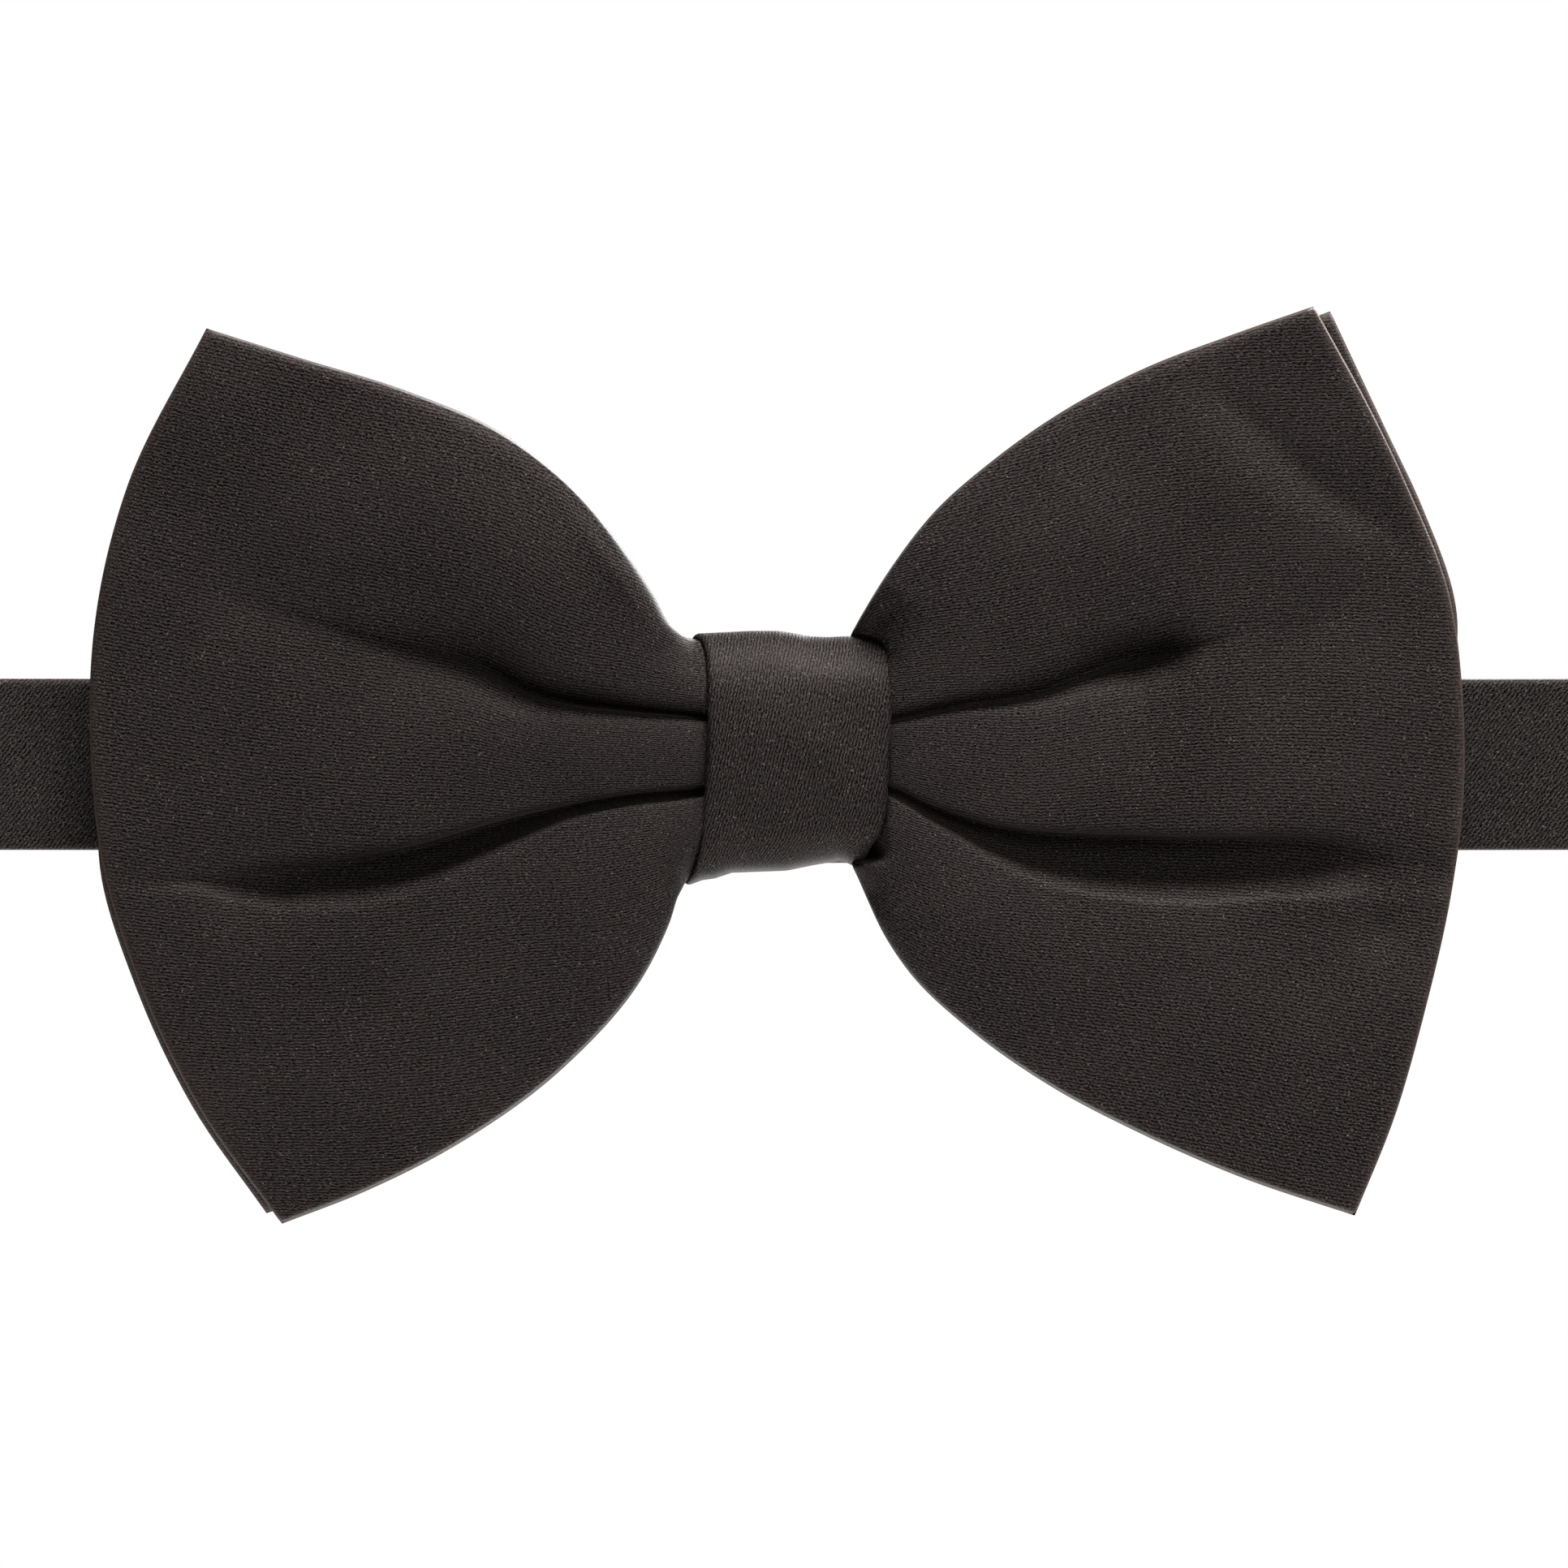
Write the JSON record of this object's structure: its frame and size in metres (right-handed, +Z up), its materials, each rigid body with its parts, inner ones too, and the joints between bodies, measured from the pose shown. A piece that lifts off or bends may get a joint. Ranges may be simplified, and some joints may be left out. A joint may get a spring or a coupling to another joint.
{
  "type": "bow tie",
  "caption": "Pre-tied butterfly bow tie of dark satin on an adjustable neck band with a hook, an eye and a slider.",
  "frame": {"origin": "on the band's flat neck-side face, at mid height, straight behind the knot", "axes": "+Z up as worn, -Y out of the bow's front, +Y towards the wearer's neck, +X to the right of a person who faces the bow"},
  "size_m": [0.1874, 0.0904, 0.0799],
  "materials": {
    "bow_satin": "fine satin twill, soft sheen",
    "band_satin": "fine satin twill, soft sheen",
    "interlining": "matt woven canvas",
    "sewing_thread": "twisted polyester thread",
    "nickel_plate": "polished nickel plate"
  },
  "bodies": {
    "neck_band": {"band_cloth": "band_satin", "band_interlining": "interlining", "eye_bar_tack": "sewing_thread"},
    "left_arm": {"arm_cloth": "band_satin", "arm_interlining": "interlining", "adjuster_return_ply": "band_satin"},
    "slider": {"slider": "nickel_plate", "slider_end_tab": "band_satin", "slider_bar_tack": "sewing_thread"},
    "hook": {"hook": "nickel_plate"},
    "eye": {"eye": "nickel_plate"},
    "bow": {"front_bow_cloth": "bow_satin", "front_bow_interlining": "interlining", "back_bow_cloth": "bow_satin", "back_bow_interlining": "interlining", "waist_thread": "sewing_thread", "knot_cloth": "bow_satin", "knot_padding": "interlining", "knot_stitches": "sewing_thread"}
  },
  "joints": [
    {"name": "bow_slide", "type": "slide", "parent": "neck_band", "child": "bow", "axis": [1, 0, 0], "range_m": [-0.015, 0.015]},
    {"name": "band_open", "type": "hinge", "parent": "neck_band", "child": "left_arm", "pos_m": [-0.093, 0.025, 0], "axis": [0, 0, 1], "range_deg": [0, 50]},
    {"name": "slider_travel", "type": "slide", "parent": "left_arm", "child": "slider", "axis": [1, 0, 0], "range_m": [-0.025, 0.01], "deforming": ["adjuster_return_ply"]},
    {"name": "hook_swing", "type": "hinge", "parent": "left_arm", "child": "hook", "pos_m": [0.008, 0.0731, 0], "axis": [0, 0, 1], "range_deg": [0, 60]},
    {"name": "eye_swing", "type": "hinge", "parent": "neck_band", "child": "eye", "pos_m": [0.037, 0.0731, 0], "axis": [0, 0, 1], "range_deg": [0, 50]}
  ]
}
